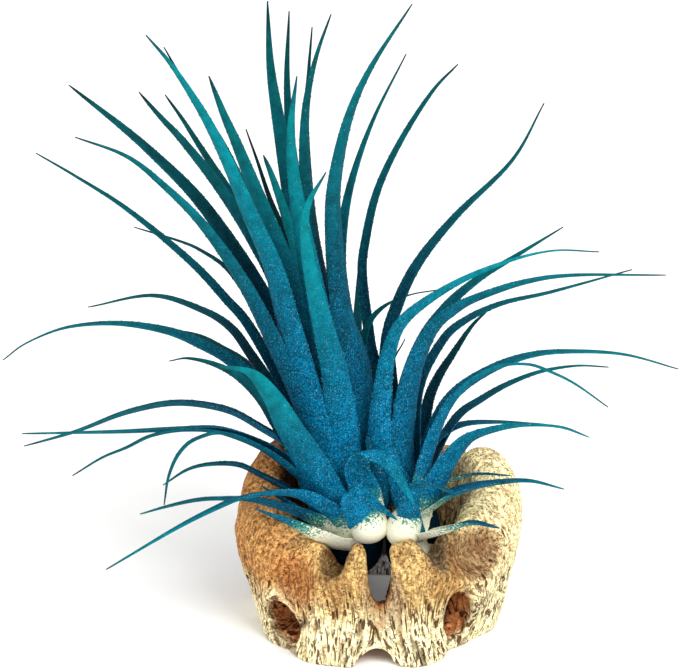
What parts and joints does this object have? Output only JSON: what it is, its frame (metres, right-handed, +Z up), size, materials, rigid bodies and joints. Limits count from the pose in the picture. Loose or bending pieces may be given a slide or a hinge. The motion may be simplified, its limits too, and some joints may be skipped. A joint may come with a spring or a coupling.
{
  "type": "sky plant in a wood ring",
  "caption": "Sky plant with a main and a side head of long pointed teal leaves, resting in a squat hollow ring of weathered wood with oval holes.",
  "frame": {"origin": "middle of the whole object's box on the surface that it rests on", "axes": "+Z up, +X to the right as seen from the front, -Y to the front"},
  "size_m": [0.131, 0.0786, 0.1285],
  "materials": {
    "weathered_wood": "dry, weathered, open-grained",
    "scaly_leaf": "velvety living leaf covered in fine pale scales"
  },
  "bodies": {
    "root": {"wood_holder": "weathered_wood", "main_rosette": "scaly_leaf", "side_rosette": "scaly_leaf"}
  },
  "joints": []
}
